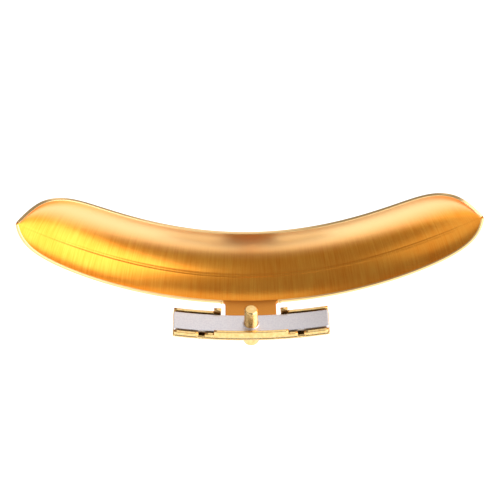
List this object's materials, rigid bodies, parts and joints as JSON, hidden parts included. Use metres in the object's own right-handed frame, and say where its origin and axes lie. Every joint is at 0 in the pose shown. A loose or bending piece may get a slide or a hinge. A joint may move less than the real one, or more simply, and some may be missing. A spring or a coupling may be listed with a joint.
{
  "type": "banjo armrest",
  "caption": "Clamp-on banjo armrest: pressed leaf-shaped rest on a curved channel bracket, held to the tension hooks by a loose plate and a screw.",
  "frame": {"origin": "on the clamp screw's axis, at the bracket's clamping face (the inner face of the channel's web)", "axes": "+X along the rest from tip to tip, +Y the normal of the drum head, away from the clamp, +Z inwards to the drum's axis, along the screw; the part lies on its back"},
  "size_m": [0.1758, 0.0387, 0.0519],
  "materials": {
    "shell_gold": "cross-brushed gold plate over pressed brass",
    "bracket_gold": "bright gold plate over pressed brass",
    "plate_nickel": "satin nickel plate",
    "screw_gold": "bright gold plate"
  },
  "bodies": {
    "armrest": {"armrest_shell": "shell_gold", "channel_bracket": "bracket_gold"},
    "screw": {"clamp_screw": "screw_gold"},
    "plate": {"clamp_plate": "plate_nickel"}
  },
  "joints": [
    {"name": "screw_turn", "type": "hinge", "parent": "armrest", "child": "screw", "pos_m": [0, 0, 0], "axis": [0, 0, -1], "range_deg": [-496, 2705]},
    {"name": "plate_travel", "type": "slide", "parent": "armrest", "child": "plate", "axis": [0, 0, 1], "range_m": [-0.0011, 0.006]}
  ],
  "couplings": [
    {"joint": "screw_turn", "follows": "plate_travel", "rad_per_m": 7854}
  ]
}
